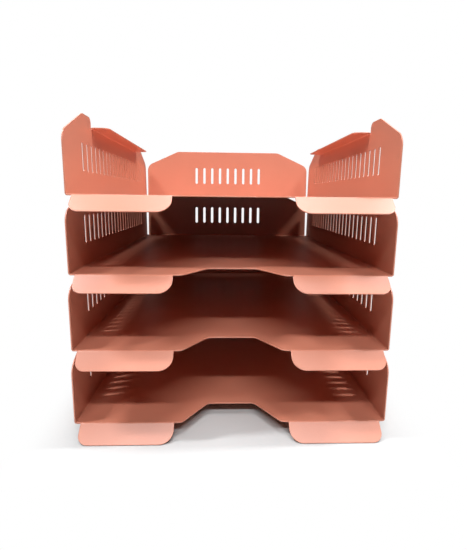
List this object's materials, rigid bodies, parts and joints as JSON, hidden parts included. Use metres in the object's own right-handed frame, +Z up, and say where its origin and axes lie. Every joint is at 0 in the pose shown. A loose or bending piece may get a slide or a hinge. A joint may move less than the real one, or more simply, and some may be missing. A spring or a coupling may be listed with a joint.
{
  "type": "stacking letter tray",
  "caption": "Folded sheet-metal letter trays in a stack, with flanged and slotted side walls, front lips and a thumb cut-out; each tray lifts off the one below.",
  "frame": {"origin": "on the desk, under the middle of the whole stack's box", "axes": "+X to the right seen from the front, +Y from the open front to the back wall, +Z up"},
  "size_m": [0.253, 0.3518, 0.2574],
  "materials": {
    "powder_coat": "satin coral powder coat"
  },
  "bodies": {
    "bottom": {"bottom_tray": "powder_coat"},
    "second": {"second_tray": "powder_coat"},
    "third": {"third_tray": "powder_coat"},
    "top": {"top_tray": "powder_coat"}
  },
  "joints": [
    {"name": "second_tray_lift", "type": "slide", "parent": "bottom", "child": "second", "axis": [0, 0.0339, 0.9994], "range_m": [0, 0.08]},
    {"name": "third_tray_lift", "type": "slide", "parent": "second", "child": "third", "axis": [0, 0.0339, 0.9994], "range_m": [0, 0.08]},
    {"name": "top_tray_lift", "type": "slide", "parent": "third", "child": "top", "axis": [0, 0.0339, 0.9994], "range_m": [0, 0.08]}
  ]
}
